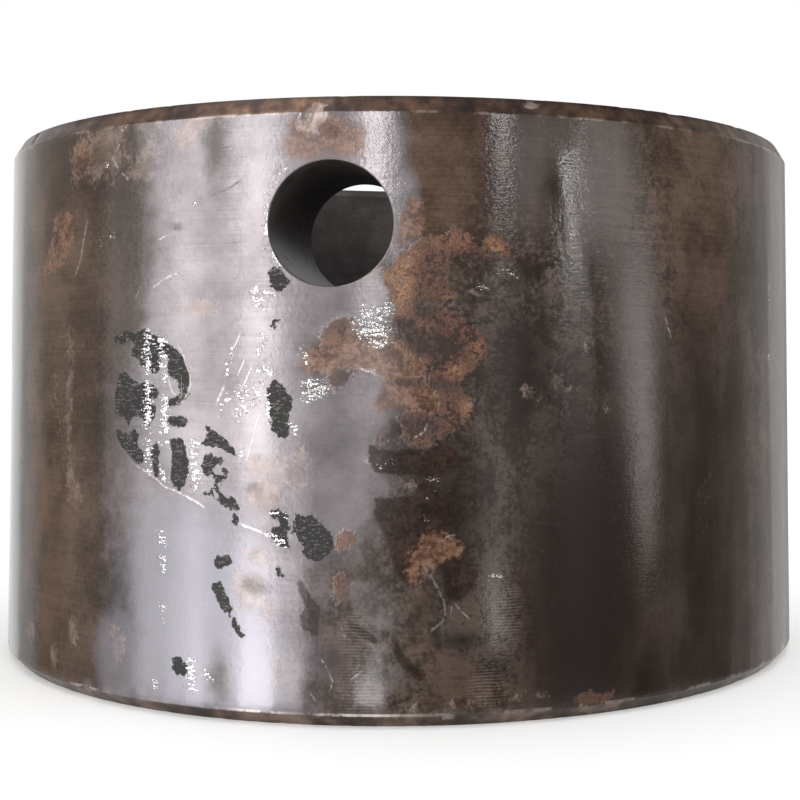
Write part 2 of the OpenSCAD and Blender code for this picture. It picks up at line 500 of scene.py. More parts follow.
keep_on_mesh("rust", np.maximum(outline_depth([
    [(8.2, 46.8), (9.2, 47.7), (10.4, 48), (11.4, 48.2), (12.2, 48.7), (13.2, 48.4), (13.9, 48.3),
     (14.4, 47.4), (15.4, 46.6), (16, 46), (15, 45.2), (13.6, 45.2), (12.4, 45.8), (11.4, 45),
     (11.2, 43.8), (12.4, 42), (11, 41.5), (9.6, 41.8), (8.3, 41.3), (8.3, 40.4), (7.2, 40.2),
     (6.5, 40.9), (6.1, 41.8), (6.2, 42.8), (5.3, 43.6), (5.1, 44.3), (6.2, 45.2), (7.2, 46.2)],
    [(6.6, 40.2), (8.3, 41.2), (10.4, 41), (11.6, 40.7), (13, 40.2), (14.4, 39.2), (15.1, 38),
     (15.6, 36.8), (15.2, 35.8), (14.2, 34.9), (13.2, 34.3), (13, 33.4), (12.6, 32.6), (13.8, 32),
     (14.2, 31.2), (13.6, 30), (12.6, 28.7), (11.4, 28.4), (10.6, 29.4), (10.8, 30.8), (11, 32),
     (10.4, 33), (9.6, 33.8), (10, 35), (9.4, 35.8), (8.4, 36.3), (7.5, 37), (7.4, 38), (6.4, 38.9),
     (6, 39.6)],
    [(6.6, 30.6), (8, 30.6), (9.4, 30.6), (10.6, 30), (11.2, 28.8), (10.4, 27.4), (8.8, 27.2), (7.4, 28)],
    [(-0.6, 38.6), (0, 39.4), (1, 39.9), (2.2, 39.7), (1.8, 38.9), (1.6, 37.8), (0.8, 37),
     (-0.2, 36.4), (-1.2, 36.4), (-0.8, 37.2)],
    [(0, 34.2), (0.6, 34.9), (2, 34.9), (3.1, 34.4), (2.2, 33.8), (1.6, 33.2), (0.8, 32.9), (0.1, 33.3)],
    [(5.6, 33.7), (7, 34), (9, 33.8), (9.4, 33.2), (7.6, 33.1)],
    [(15, 47.4), (16, 48.2), (17, 48), (17.8, 47.2), (18.8, 46.6), (18.4, 45.8), (17.6, 46),
     (16.6, 46.4), (15.6, 46.8)],
    [(0.5, 15), (1.6, 15.2), (2, 14.2), (1.5, 13), (1.2, 12), (0.5, 12.2), (0.8, 13.6)],
    [(-1.4, 58.6), (-0.6, 59.2), (0.6, 59), (1.2, 58.2), (0.4, 57.6), (-0.6, 57.8)],
    [(24.6, 2), (26, 2.6), (28, 2.2), (29.6, 2.6), (29, 1.6), (26, 1.4)],
] + orange_spots), 0.72 * patch_depth([
    (122, 31, 7, 5), (126, 27, 4, 3), (118, 26, 4, 3), (-118, 23, 5, 7), (-115, 28, 4, 4),
    (82, 12, 5, 4), (86, 14, 3, 2), (-66, 52, 4, 3), (164, 46, 5, 4), (169, 44, 4, 2), (118, 20, 3, 3),
    (-127, 16, 2, 4),
])))
pale_rust = outline_depth([
    [(5.1, 44.3), (6.2, 45.2), (7.2, 46.2), (8.2, 46.8), (9, 46.4), (8.4, 45.4), (8.2, 44.4),
     (8.4, 43.4), (8, 42.4), (8.2, 41), (7.2, 40.4), (6.5, 40.9), (6.1, 41.8), (6.2, 42.8), (5.3, 43.6)],
    [(11.2, 34.8), (12.2, 35.4), (13.2, 35.4), (13.7, 34.8), (12.6, 34), (11.4, 34)],
    [(12.8, 31.2), (13.6, 32), (14.2, 31.4), (13.8, 30.4), (13, 30.4)],
    [(12.2, 42.2), (12, 41.4), (11.4, 41), (11, 41.6)],
    [(15, 47.2), (16, 48), (17.4, 47.4), (17.2, 46.2), (16, 46)],
])
orange_rust = outline_depth([
    [(9.2, 47.2), (10.4, 48), (11.4, 48.2), (12.2, 48.7), (13.2, 48.4), (13.9, 48.3), (14.2, 47.4),
     (13.4, 46.6), (12, 46.8), (10.6, 46.6)],
    [(-0.9, 36.6), (-0.6, 37.4), (0.2, 38.5), (0.9, 38.8), (1.1, 37.8), (0.4, 36.9)],
    [(13.6, 36.4), (14.2, 37.4), (14.9, 38.2), (15.5, 37), (15, 36), (14.2, 35.6)],
    [(6.6, 40.4), (8, 40.9), (8.4, 40.2), (7.2, 39.8)],
    [(8.4, 39.4), (9.4, 39.8), (10, 39), (9, 38.4)],
] + orange_spots)
dark_rust = outline_depth([
    [(8.2, 41.2), (9, 41.6), (10.4, 41.5), (10.9, 40.6), (9.8, 39.7), (8.5, 40)],
    [(6.4, 39.6), (7.6, 40), (8.4, 39.6), (9.4, 38.2), (10.6, 39.2), (11.4, 38.2), (11.6, 36.8),
     (11.8, 35.6), (10.8, 35), (10.2, 35.6), (9.6, 36.4), (8, 36.6), (7.4, 37.6), (7, 38.6)],
    [(12, 45.8), (13.4, 46.3), (14.8, 46.5), (16, 46), (15, 45), (13.6, 45)],
    [(0, 34), (0.8, 34.8), (2.2, 34.9), (3.1, 34.2), (2, 33.5), (1, 33), (0.1, 33.1)],
    [(-0.5, 38.6), (0, 39.4), (1, 39.9), (2, 39.7), (1.6, 39), (0.8, 39), (0, 38.3)],
    [(1.1, 38.8), (1.8, 38.8), (1.6, 37.9), (1.1, 37.9)],
    [(5.6, 33.8), (7, 34), (9, 33.8), (11, 33.9), (12.6, 33.5), (12.4, 32.9), (10, 33), (7.6, 33)],
    [(6.6, 30.6), (8, 30.4), (9.4, 30.5), (10.4, 30), (10.6, 29), (8.8, 28.6), (7.6, 29.2)],
    [(11.8, 37.8), (12.6, 38), (13.2, 37), (12.8, 36.2), (12, 36.4)],
])
keep_on_mesh("rust_tone", 0.27 + 0.46 * soft(pale_rust) + 0.24 * soft(orange_rust) - 0.34 * soft(dark_rust))
# Pale dirt clings as a soft film in some places and as loose specks in others
keep_on_mesh("dirt", np.maximum(patch_depth([
    (-20.3, 56.6, 1.2, 2.2), (-22.2, 55.3, 1.3, 1), (-35.4, 3.6, 0.8, 1.2), (-42, 5, 1.2, 1.6),
    (-4.9, 5.4, 0.7, 1.4), (-27.4, 57.6, 3.4, 2.6), (-30.8, 57.2, 2.2, 2), (-16.2, 58.2, 1.5, 1),
    (-13.8, 59.6, 2.4, 0.8), (-22, 60, 3, 0.6), (-13.4, 41, 2, 0.8), (-17, 41, 1.2, 0.5),
    (-24.4, 58.8, 0.6, 0.6), (-31.5, 21.5, 1.2, 1.6), (-32.4, 22.6, 0.7, 2), (-33, 32, 0.7, 5),
    (-32.4, 37, 0.5, 2), (-31.5, 7, 0.8, 1.4), (-24, 6, 0.8, 1.6), (-24.8, 7.8, 0.8, 0.6),
    (-6.4, 22.4, 1.6, 2), (-5.4, 24.6, 1.4, 1.4), (-7.4, 25.6, 1, 1), (-2.8, 25, 0.8, 2),
    (-8.4, 13, 1.4, 2.2), (-7.4, 16.4, 1.2, 0.9), (-6.2, 11.4, 1, 1.2), (14.4, 42.4, 0.6, 0.5),
    (13.7, 31.3, 0.7, 0.6), (8, 23.6, 0.6, 0.5), (4.2, 26, 0.8, 0.4), (-70, 30, 3, 5), (-67, 33, 3, 3),
    (-72, 25, 2, 3), (108, 50, 3, 2), (112, 51.4, 3, 1.4),
]), 0.56 * patch_depth([
    (26.4, 37, 0.9, 0.8), (22.8, 34.2, 0.8, 0.9), (19.7, 32.8, 1, 0.6), (23.4, 31, 0.7, 1),
    (26, 30.6, 0.8, 0.8), (24.4, 33, 1.6, 0.4), (28.6, 30.8, 0.9, 0.7), (13.6, 2.2, 2.2, 0.6),
    (17.6, 2.7, 2.2, 0.7), (20.6, 2.7, 1.2, 0.5), (8.6, 2.2, 1.2, 0.7),
])))
keep_on_mesh("grit", patch_depth([
    (38, 48, 3, 6), (17, 38, 3, 6), (22, 31, 4, 5), (18.5, 45, 2, 3), (10, 16, 5, 4), (6, 8, 6, 6),
    (-35, 30, 6, 30), (-16, 39, 4, 2), (42, 20, 4, 16), (90, 40, 20, 16), (-100, 20, 20, 16),
    (150, 30, 16, 20),
]))

# Flakes: the film is gone from inside these outlines and the dark pitted steel shows
keep_on_mesh("flake", outline_depth([
    [(-25.1, 38), (-23.4, 38.8), (-21.9, 38.5), (-20.9, 38.9), (-19.6, 38.2), (-18.6, 38.1),
     (-18.2, 37.2), (-18.7, 36.2), (-18.6, 34.6), (-19.2, 34.4), (-20.2, 34.9), (-21, 35.1),
     (-21.6, 35.9), (-22.6, 36.6), (-22, 37.2), (-22.2, 37.8), (-23.2, 37.7), (-23.8, 37.4),
     (-24.8, 37.5)],
    [(-18.3, 37.6), (-17.2, 37.1), (-16.3, 36.6), (-15.7, 35.9), (-15.5, 35.2), (-15, 34.6),
     (-15, 33.4), (-15.4, 33), (-16.2, 33), (-16.2, 33.7), (-16.9, 34), (-17.5, 34.2), (-17.6, 35),
     (-17.4, 36.2), (-18.4, 36.4)],
    [(-17.6, 31), (-17.3, 31.8), (-16.4, 32.1), (-15.3, 32.6), (-15, 32.6), (-15.4, 31.8), (-16.2, 31.3)],
    [(-24.3, 34.2), (-23.6, 34.4), (-23, 34.1), (-22.2, 33.5), (-21.2, 33.3), (-20, 33.4), (-19.2, 33),
     (-18.7, 32.5), (-18.8, 31.9), (-19.8, 32), (-19.9, 31.2), (-19, 30.9), (-19.2, 30.2), (-20, 29),
     (-20.6, 29.2), (-20.8, 30), (-22.5, 30), (-22.6, 29.2), (-23.2, 29.2), (-23.3, 29.9),
     (-24.6, 29.8), (-24.9, 31), (-24.8, 32)],
    [(-17.5, 29.9), (-15.2, 30), (-15, 29.5), (-15.6, 29), (-16.8, 29.1), (-17.5, 29.3)],
    [(-24.9, 28.2), (-24.4, 28.6), (-23.6, 28), (-22.6, 28.2), (-21.9, 28.5), (-21.3, 28),
     (-21.7, 27.4), (-21.5, 26.6), (-20.7, 26.4), (-20.9, 25.4), (-21.4, 25), (-22.2, 25.5),
     (-23, 26.3), (-24.1, 27.2)],
    [(-19.7, 26.6), (-19, 27.4), (-18.5, 26.8), (-18.8, 25.6), (-18.5, 24.2), (-19, 23.7), (-19.5, 24.4)],
    [(-17.2, 27.8), (-15.6, 27.8), (-15.4, 26.6), (-15, 25.6), (-15.1, 24.4), (-15.6, 23),
     (-16.1, 22.4), (-16.8, 23.3), (-17.2, 24.2), (-17, 25.6)],
    [(-12.9, 29.1), (-11.8, 28.6), (-11.2, 28), (-10.4, 27.5), (-9.5, 26.4), (-10, 26.2), (-10.8, 27),
     (-11.6, 27.2), (-13, 27.1), (-13.4, 27.4), (-12.8, 28)],
    [(-13.1, 26.2), (-12.2, 26.3), (-12, 25.8), (-10.7, 26), (-11, 25.3), (-12, 25.3), (-12.5, 24.2),
     (-13.3, 24.2), (-13.5, 25)],
    [(-12.2, 24.2), (-11.4, 24.3), (-10.8, 24.8), (-10, 24.9), (-10.6, 24.1), (-11.3, 23.3),
     (-11.8, 23.7)],
    [(-13.2, 22.4), (-12.4, 22.9), (-11.6, 23.1), (-12.1, 22.5), (-12.9, 22.1)],
    [(-11.3, 22.8), (-10.9, 22.1), (-10.2, 22.1), (-9.5, 21.7), (-9.2, 20.9), (-9.9, 20.9),
     (-10.6, 21.2), (-11.7, 21.8)],
    [(-10.3, 19.9), (-9.3, 20.6), (-9.3, 19.4)],
    [(-5.4, 34), (-4.9, 33.4), (-4.2, 32.4), (-3.6, 31.7), (-3.9, 31), (-4.2, 30.2), (-4, 29),
     (-4.2, 28.2), (-5, 28.1), (-5.6, 28.8), (-6, 29.8), (-6, 30.8), (-6.2, 31.8), (-6.3, 32.6),
     (-5.9, 33.5)],
    [(-6.1, 20.8), (-5.2, 21.2), (-4.3, 20.7), (-4, 19.6), (-4.2, 18.6), (-4, 17.4), (-4.6, 17.4),
     (-5.5, 18.1), (-6.1, 18.6), (-5.8, 19.2), (-4.6, 19.2), (-4.9, 20.2), (-5.8, 20.2)],
    [(-3.4, 20.6), (-2.7, 20.7), (-2.5, 20), (-2.1, 20.6), (-1.3, 20.6), (-1, 19.8), (-0.2, 19.4),
     (0.4, 18.6), (0.5, 17.6), (0, 16.8), (-0.8, 16.2), (-2, 16.3), (-2.6, 16.6), (-2.2, 17.2),
     (-2.6, 17.6), (-3.2, 18.6)],
    [(-5.3, 16), (-4.9, 15.4), (-4.3, 14.3), (-4.8, 14.3), (-5.2, 15.2)],
    [(-11.9, 16.2), (-11, 16.4), (-10, 16.2), (-9.8, 15.7), (-10.8, 15.6), (-11.1, 15), (-11.8, 15.3)],
    [(-12.2, 13.6), (-11.2, 13.8), (-10.6, 12.4), (-9.8, 11), (-10.4, 10.6), (-11.2, 11.4), (-12, 12.6)],
    [(-10, 10.4), (-9.4, 10), (-8.6, 8.4), (-9, 8.4), (-9.8, 9.4)],
    [(-16.8, 5.8), (-15.8, 5.9), (-14.8, 5), (-15.4, 4.2), (-16.6, 4.4)],
    [(-6.1, 44.8), (-5.2, 44.8), (-4.6, 44.1), (-3.9, 43.5), (-4.3, 42.9), (-5.2, 42.5), (-5.9, 43),
     (-6.2, 43.8)],
    [(-6.1, 39.2), (-5.5, 39.9), (-4.9, 40.4), (-4.9, 39.8), (-5.6, 38.8)],
]))
# Bright flecks: rubbed steel, and painted glints where the bright sheets and strips are mirrored
keep_on_mesh("fleck_and_glint", stroke_depth([
    (-20.3, 38.4, -20.3, 34.9, 0.65), (-20.2, 33.4, -20.3, 29, 0.6), (-20.1, 27.2, -20, 24.5, 0.6),
    (-18.4, 37.8, -18.1, 35, 0.7), (-18.1, 34.8, -18, 33.6, 0.6), (-17.9, 31.8, -18, 28.6, 0.6),
    (-18.5, 27.2, -17.6, 27.2, 0.4), (-18.2, 24.8, -17.9, 23.4, 0.5), (-14.3, 27.4, -14.2, 22.8, 0.65),
    (-18.3, 18, -18, 17.2, 0.6), (-18.1, 15.8, -18.2, 14.2, 0.45), (-18.2, 10.9, -17.9, 10.4, 0.5),
    (-18.3, 9.8, -18, 9.4, 0.35), (-19.1, 3.2, -19, 2.8, 0.5), (-10, 33.2, -9.2, 33.8, 0.2),
    (-9.6, 32.4, -7.6, 33.4, 0.25), (-10.6, 31.6, -9.8, 32.4, 0.2), (-9.6, 30.1, -8.4, 30.8, 0.3),
    (-11, 35, -10.4, 35.6, 0.15), (-9.4, 37.8, -8.8, 38.6, 0.15), (-7, 34.9, -5.8, 34.2, 0.5),
    (-7.2, 36.2, -6.8, 38.5, 0.45), (-8.2, 33, -9.8, 29.6, 0.35), (-6.9, 33.6, -7.6, 31.4, 0.4),
    (-9.8, 37, -11, 34, 0.3), (-10.4, 32.8, -11.6, 30, 0.3), (-7.6, 42.4, -6.4, 42.2, 0.8),
    (-7.4, 41.4, -6.8, 41, 0.5), (-6.4, 33, -6.1, 30, 0.25), (-6.2, 30.2, -5.6, 28.8, 0.2),
    (-3.6, 29.4, -3.3, 28.4, 0.4), (-8.6, 29, -9, 26, 0.2), (-8.8, 25.6, -8.6, 24, 0.2),
    (-6.8, 18.9, -5.6, 18.4, 0.3), (-5.9, 20.9, -4.3, 20.4, 0.3), (-5.8, 18.6, -4.2, 17.6, 0.35),
    (3.8, 40.5, 5.6, 40.6, 0.8), (3.4, 39.5, 5, 39.4, 1.1), (3.2, 38.5, 5.4, 38.4, 0.9),
    (4.2, 37.4, 5.2, 37.2, 0.7), (-2.4, 33.5, -0.4, 33.2, 0.6), (-2.6, 32, -0.6, 32.5, 0.6),
    (-2.6, 37, -2.2, 35.4, 0.3), (3, 34.9, 4.6, 34.5, 0.15), (-6.4, 52.6, -6.5, 47, 0.3),
    (-5.8, 46.4, -5, 45.2, 0.3), (-14.5, 5.8, -14.4, 3, 0.6), (-12.8, 4.8, -12.2, 4.2, 0.5),
    (-5.4, 53.6, -4.4, 54.8, 0.25), (-14.6, 51.4, -13.8, 51.8, 0.35), (-25.6, 48.6, -25.4, 49, 0.35),
    (-27.5, 48.1, -27.2, 48.3, 0.35), (-24.2, 60, -23.6, 60.1, 0.35), (-17.4, 44.3, -17, 44.5, 0.3),
    (-26.8, 56.4, -26.3, 56.6, 0.3), (5, 25.2, 6, 25.8, 0.25), (9.6, 24.2, 10.6, 24.2, 0.25),
    (9.4, 22.6, 10, 22.6, 0.2), (9.4, 20.4, 9.9, 20.4, 0.2), (16, 14.6, 16.8, 14.6, 0.35),
    (16.9, 44.4, 18.6, 44.3, 0.35), (14.8, 43, 15.4, 43, 0.3), (58, 44.5, 58.2, 42, 0.4),
    (57.8, 36.4, 58, 35.2, 0.4),
]))
# Rubbing has laid bare the crests of the turning marks here, and the lower edge there. The pale crests are
# partly painted highlight, where the low strips are mirrored.
keep_on_mesh("ringed_and_glint", patch_depth([
    (3, 3.6, 2.4, 4.2), (2.8, 9, 2, 3), (15.4, 3.8, 2, 3), (17.4, 11, 1.8, 4), (-100, 12, 6, 8),
]))
keep_on_mesh("worn", soft(patch_depth([
    (3, 1, 4.4, 9), (-29.2, 1, 1.6, 9), (-7, 1, 2.4, 9), (84, 1, 7, 9), (-110, 1, 9, 9),
])))
# The film ends in a raised lip
keep_on_mesh("lip", stroke_depth([
    (22.8, 57, 24, 51.6, 0.8), (24, 51.6, 25.4, 47, 0.8), (25.4, 47, 27, 42, 0.7),
    (27, 42, 27.4, 36, 0.6), (57.6, 47, 58.6, 8, 0.7),
]))

# Scratches, and bright lines painted as glints on flake rims, are thinner than the mesh is fine, so each
# vertex holds its distance across the nearest one, in half widths. Each has a tone, from 0 for a dark score
# to 1 for bright, a half width and its points.
scratch_and_glint_reach = np.full(len(arc), 9.0)
scratch_and_glint_across = np.full(len(arc), 99.0)
scratch_and_glint_share = np.zeros(len(arc))
scratch_and_glint_tone = np.zeros(len(arc))
for tone, half_width, points in [
    (0.55, 0.12, [(-29.8, 50.4), (-30.4, 48.6), (-30.8, 47), (-31.8, 45)]),
    (0.65, 0.12, [(-25.6, 57), (-24.6, 55.6), (-23.2, 54.5)]), (0.6, 0.1, [(-24.4, 58.6), (-25, 57.8)]),
    (0, 0.1, [(-12.4, 52.3), (-10.8, 52.8), (-9.2, 53.7)]), (0, 0.08, [(-11.6, 57), (-10.4, 57.2)]),
    (0.3, 0.08, [(-22, 42.2), (-20.8, 44)]), (1, 0.08, [(-19.6, 43.2), (-18, 44), (-16.9, 44.6)]),
    (1, 0.08, [(-19, 48), (-18, 48.4)]), (0.9, 0.08, [(-8.4, 26), (-7.2, 30.4)]),
    (1, 0.06, [(-9.2, 38.4), (-10, 36.8)]), (1, 0.06, [(-9.4, 34.4), (-8.8, 35.8)]),
    (1, 0.06, [(-8, 35), (-9, 33)]), (0.9, 0.1, [(-11.8, 31.4), (-11, 33)]),
    (0.3, 0.11, [(9.3, 15.8), (10, 14.8), (10.8, 13.4), (11.3, 12), (11.4, 11), (11, 10.2),
    (10.2, 9.6), (9.6, 9.4)]),
    (0.6, 0.08, [(12.5, 11.9), (13.8, 10.5)]), (0.5, 0.08, [(11.2, 18.2), (11.7, 18.6), (12.2, 18.7)]),
    (0.7, 0.09, [(8.4, 28.2), (9.2, 28.6), (9.6, 29.4)]), (0.5, 0.14, [(36.4, 40), (37, 38.3)]),
    # From here to the dark score, the bright lines are painted glints on film and flake rims
    (1, 0.08, [(-2.6, 32.4), (-0.4, 33.2)]), (0.9, 0.1, [(3.2, 34.9), (4.6, 34.4)]),
    (1, 0.08, [(-16.2, 37), (-15.7, 36.2), (-15.3, 35), (-14.9, 34.4), (-14.8, 33.2), (-15.1, 32.4),
    (-16, 31.4)]),
    (1, 0.08, [(-17.4, 33.6), (-17.2, 32.6), (-16.8, 32.2)]), (1, 0.08, [(-15.1, 30), (-14.8, 29.6)]),
    (1, 0.1, [(-21.6, 24.9), (-19.6, 24), (-17.6, 22.8), (-15.9, 22.4), (-14.7, 21.8), (-13.2, 21.1)]),
    (1, 0.12, [(-9.2, 19.6), (-7.6, 19.1), (-5.8, 18.4)]),
    (0.15, 0.1, [(26.2, 59.4), (28, 57.4), (29.8, 55)]),
    (1, 0.06, [(-0.6, 6.6), (-0.2, 6)]), (1, 0.06, [(0.2, 5.2), (0.5, 4.5), (0.3, 4)]),
    (0.9, 0.06, [(2.4, 4.9), (3, 5.3)]), (0.9, 0.06, [(1.4, 9.6), (1.6, 9)]),
    (1, 0.06, [(-1.6, 3.2), (-1.2, 2.6)]),
    (0.7, 0.09, [(-78, 40), (-74, 36.6), (-70, 34)]), (0.7, 0.09, [(-110, 48), (-104, 46)]),
    (0.6, 0.09, [(70, 52), (76, 50)]), (0.6, 0.09, [(88, 28), (85, 24), (84, 20)]),
    (0.7, 0.09, [(130, 20), (137, 24)]),
    (0.6, 0.09, [(150, 50), (146, 42)]), (0.7, 0.09, [(-140, 26), (-133, 22)]),
]:
    spans = list(zip(points, points[1:]))
    whole = sum(math.dist(start, end) for start, end in spans)
    run_up = 0.0
    for (u0, v0), (u1, v1) in spans:
        across, along, length = stroke_place(u0, v0, u1, v1)
        past_end = np.maximum(np.maximum(-along, along - length), 0)
        reach = np.hypot(across, past_end)
        taper = np.clip(np.minimum(run_up + along, whole - run_up - along) / 0.5 + 0.5, 0, 1)
        nearer = reach < scratch_and_glint_reach
        scratch_and_glint_reach = np.where(nearer, reach, scratch_and_glint_reach)
        scratch_and_glint_across = np.where(nearer, across / half_width, scratch_and_glint_across)
        scratch_and_glint_share = np.where(nearer, np.clip(2.4 - reach * 2, 0, 1) * taper, scratch_and_glint_share)
        scratch_and_glint_tone = np.where(nearer, tone, scratch_and_glint_tone)
        run_up += length
keep_on_mesh("scratch_and_glint_across", scratch_and_glint_across)
keep_on_mesh("scratch_and_glint_share", scratch_and_glint_share)
keep_on_mesh("scratch_and_glint_tone", scratch_and_glint_tone)


def srgb(red, green, blue):
    """A colour as read off a screen, from 0 to 255, as linear light."""
    parts = [c / 255 for c in (red, green, blue)]
    return tuple(p / 12.92 if p < 0.04 else ((p + 0.055) / 1.055) ** 2.4 for p in parts) + (1.0,)


def noise(tree, place, scale, detail, roughness=0.5, distortion=0.0):
    """Cloudy noise of about so many features a millimetre, from 0 to 1 with most of it near a half."""
    return node(tree, "ShaderNodeTexNoise", {
        "Vector": place, "Scale": scale, "Detail": detail, "Roughness": roughness, "Distortion": distortion,
    }).outputs["Fac"]


def step_up(tree, value, low, high):
    """0 below low, 1 above high, and a smooth step between."""
    feeds = {0: value, 1: low, 2: high}
    return node(tree, "ShaderNodeMapRange", feeds, interpolation_type="SMOOTHSTEP").outputs[0]


def blend(tree, share, first, second, kind="Color"):
    """From the first colour or vector to the second, by a share."""
    made = node(tree, "ShaderNodeMix", data_type={"Color": "RGBA", "Vector": "VECTOR"}[kind])
    inputs = {socket.identifier: socket for socket in made.inputs}
    for key, value in (("Factor_Float", share), ("A_" + kind, first), ("B_" + kind, second)):
        if isinstance(value, bpy.types.NodeSocket):
            tree.links.new(value, inputs[key])
        else:
            inputs[key].default_value = value
    return next(s for s in made.outputs if s.identifier == "Result_" + kind)


def tones(tree, share, *stops):
    """A colour ramp through evenly spread tones."""
    made = node(tree, "ShaderNodeValToRGB", {0: share})
    ramp = made.color_ramp
    while len(ramp.elements) < len(stops):
        ramp.elements.new(0.5)
    for i, colour in enumerate(stops):
        ramp.elements[i].position = i / (len(stops) - 1)
        ramp.elements[i].color = colour
    return made.outputs[0]


def shift(tree, value, source, share):
    """A value moved up or down by a noise, around the noise's middle."""
    return maths(tree, "MULTIPLY_ADD", maths(tree, "SUBTRACT", source, 0.5), share, value)


def stretched(tree, place, x, y, z):
    return node(tree, "ShaderNodeVectorMath", {0: place, 1: (x, y, z)}, operation="MULTIPLY").outputs[0]


def place_in_mm(tree):
    object_place = node(tree, "ShaderNodeTexCoord").outputs["Object"]
    feeds = {0: object_place, "Scale": 1 / MM}
    return node(tree, "ShaderNodeVectorMath", feeds, operation="SCALE").outputs[0]


def stored(tree, name):
    return node(tree, "ShaderNodeAttribute", attribute_name=name).outputs["Fac"]


def cover(tree, look, share, colour, metallic, roughness, relief):
    """Lay one more coat over a look: its colour, and its metal, roughness and height in mm."""
    return (
        blend(tree, share, look[0], colour),
        blend(tree, share, look[1], (metallic, roughness, relief), "Vector"),
    )


def dress(tree, colour, surface, relief):
    """Feed the shader a colour, a surface's metal and roughness, and relief in mm, and return it."""
    shader = tree.nodes["Principled BSDF"]
    bump = node(tree, "ShaderNodeBump", {"Strength": 1.0, "Distance": MM, "Height": relief}).outputs[0]
    feeds = {"Base Color": colour, "Metallic": surface[0], "Roughness": surface[1], "Normal": bump}
    for name, source in feeds.items():
        tree.links.new(source, shader.inputs[name])
    return shader


outside_finish = finishes["Outside"]
outside_finish.use_nodes = True
tree = outside_finish.node_tree
place = place_in_mm(tree)
up_mm = node(tree, "ShaderNodeSeparateXYZ", {0: place}).outputs[2]
cloud = noise(tree, place, 0.12, 5, 0.6)
runs = noise(tree, stretched(tree, place, 0.3, 0.3, 0.06), 1.0, 4, 0.6)
ragged = noise(tree, place, 0.55, 5, 0.6)
speck = noise(tree, place, 2.2, 3, 0.65)
dust = noise(tree, place, 6.0, 2, 0.6)
grain = noise(tree, stretched(tree, place, 0.08, 0.08, 4.5), 1.0, 3, 0.6)


def zone(name, ragged_share, low, high, speck_share=0.0):
    """Where a kind of mark covers the outside, with a ragged rim."""
    depth = shift(tree, stored(tree, name), ragged, ragged_share)
    if speck_share:
        depth = shift(tree, depth, speck, speck_share)
    return step_up(tree, depth, low, high)


film_tone = maths(tree, "ADD", maths(tree, "MULTIPLY", cloud, 0.5), maths(tree, "MULTIPLY", runs, 0.5))
mottled = zone("mottled", 0.4, 0.2, 0.7)
mottle_share = maths(tree, "MULTIPLY_ADD", mottled, 0.9, 0.15)
mottle = maths(tree, "MULTIPLY", maths(tree, "SUBTRACT", ragged, 0.5), mottle_share)
film_tone = maths(tree, "ADD", film_tone, mottle)
fine = maths(tree, "MULTIPLY_ADD", mottled, 0.5, 0.25)
film_tone = maths(tree, "MULTIPLY_ADD", maths(tree, "SUBTRACT", speck, 0.5), fine, film_tone)
film_tone = step_up(tree, shift(tree, film_tone, dust, 0.2), 0.3, 0.7)
film_colour = tones(tree, film_tone, srgb(47, 38, 33), srgb(64, 53, 46), srgb(86, 73, 65))
brown_tone = maths(tree, "MULTIPLY_ADD", mottle, 0.5, shift(tree, cloud, speck, 0.25))
brown_tone = step_up(tree, shift(tree, brown_tone, grain, 0.3), 0.28, 0.72)
brown_colour = tones(tree, brown_tone, srgb(62, 48, 40), srgb(82, 65, 54), srgb(100, 81, 70))
warm_colour = tones(tree, brown_tone, srgb(60, 45, 33), srgb(82, 63, 48), srgb(102, 81, 64))
brown_colour = blend(tree, stored(tree, "warm"), brown_colour, warm_colour)
film_colour = blend(tree, zone("brown_film", 0.45, 0.25, 0.75, 0.2), film_colour, brown_colour)
# Lighter grey bands, partly painted reflection of the strip lamps
thinned_and_sheen = maths(tree, "MULTIPLY", stored(tree, "thinned_and_sheen"), 0.6)
film_colour = blend(tree, thinned_and_sheen, film_colour, tones(tree, grain, srgb(82, 74, 72), srgb(112, 103, 101)))
# Nearly black film, with one painted shadow line beside the lip
film_colour = blend(tree, zone("black_film_and_shade", 0.35, 0.2, 0.85, 0.2), film_colour, srgb(35, 26, 21))
pits = step_up(tree, noise(tree, stretched(tree, place, 0.8, 0.8, 2.4), 1.0, 3, 0.6), 0.54, 0.72)
pits = maths(tree, "MULTIPLY", pits, maths(tree, "MULTIPLY", mottled, 0.4))
film_colour = blend(tree, pits, film_colour, srgb(34, 26, 22))
dull = zone("dull", 0.6, 0.25, 0.75)
film_rough = maths(tree, "MULTIPLY_ADD", dull, 0.18, maths(tree, "MULTIPLY_ADD", cloud, 0.08, 0.08))
look = (film_colour, combine(tree, 0.0, film_rough, 0.0))

# Grey film, partly painted reflection: a paler, more metal coat where the bright sheets are mirrored
grey = zone("grey_film_and_sheen", 0.25, 0.3, 0.66)
grain_share = maths(tree, "MULTIPLY", step_up(tree, runs, 0.38, 0.62), 0.35)
grey_tone = maths(tree, "MULTIPLY_ADD", maths(tree, "SUBTRACT", grain, 0.5), grain_share, cloud)
grey_tone = step_up(tree, shift(tree, grey_tone, speck, 0.12), 0.25, 0.75)
grey_colour = tones(tree, grey_tone, srgb(96, 89, 92), srgb(122, 115, 118), srgb(140, 134, 137))
look = cover(tree, look, grey, grey_colour, 0.4, 0.22, 0.0)
# Its bluish part below, partly painted reflection too
blue = maths(tree, "MULTIPLY", zone("blue_film_and_sheen", 0.4, 0.25, 0.7), grey)
look = cover(tree, look, maths(tree, "MULTIPLY", blue, 0.8), srgb(126, 124, 132), 0.4, 0.2, 0.0)

